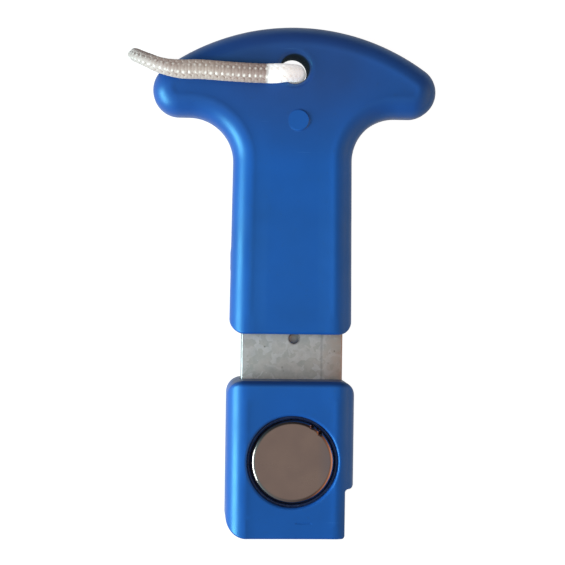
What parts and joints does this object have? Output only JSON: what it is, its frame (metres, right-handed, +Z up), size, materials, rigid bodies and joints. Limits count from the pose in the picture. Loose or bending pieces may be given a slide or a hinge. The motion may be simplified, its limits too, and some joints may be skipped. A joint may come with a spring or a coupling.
{
  "type": "magnetic pick-up tool",
  "caption": "Hand-held magnetic pick-up: T-shaped moulded handle, flat steel bar, block with a round disc magnet, and a braided wrist loop through the handle.",
  "frame": {"origin": "under the middle of the tool, on the plane the block's back rests on", "axes": "+Z up out of the face that holds the magnet, +Y towards the crown of the handle, +X to the right seen from the front"},
  "size_m": [0.0945, 0.155, 0.0254],
  "materials": {
    "blue_moulding": "satin moulded plastic",
    "galvanised_bar": "dull galvanised",
    "nickel_plate": "bright nickel plate",
    "epoxy": "dark cured resin",
    "zinc_screw": "bright zinc plate",
    "nylon_braid": "braided"
  },
  "bodies": {
    "tool_body": {"handle_front_shell": "blue_moulding", "handle_rear_shell": "blue_moulding", "block_front_shell": "blue_moulding", "block_rear_shell": "blue_moulding", "core_bar": "galvanised_bar", "magnet_disc": "nickel_plate", "magnet_bond": "epoxy", "handle_screw_arm_left": "zinc_screw", "handle_screw_arm_right": "zinc_screw", "handle_screw_upper": "zinc_screw", "handle_screw_lower": "zinc_screw", "block_screw_left": "zinc_screw", "block_screw_right": "zinc_screw"},
    "wrist_loop": {"lanyard_cord": "nylon_braid"}
  },
  "joints": [
    {"name": "wrist_loop_swing", "type": "hinge", "parent": "tool_body", "child": "wrist_loop", "pos_m": [0, 0.0643, 0.0127], "axis": [0, 0, 1], "range_deg": [-165, 0]}
  ]
}
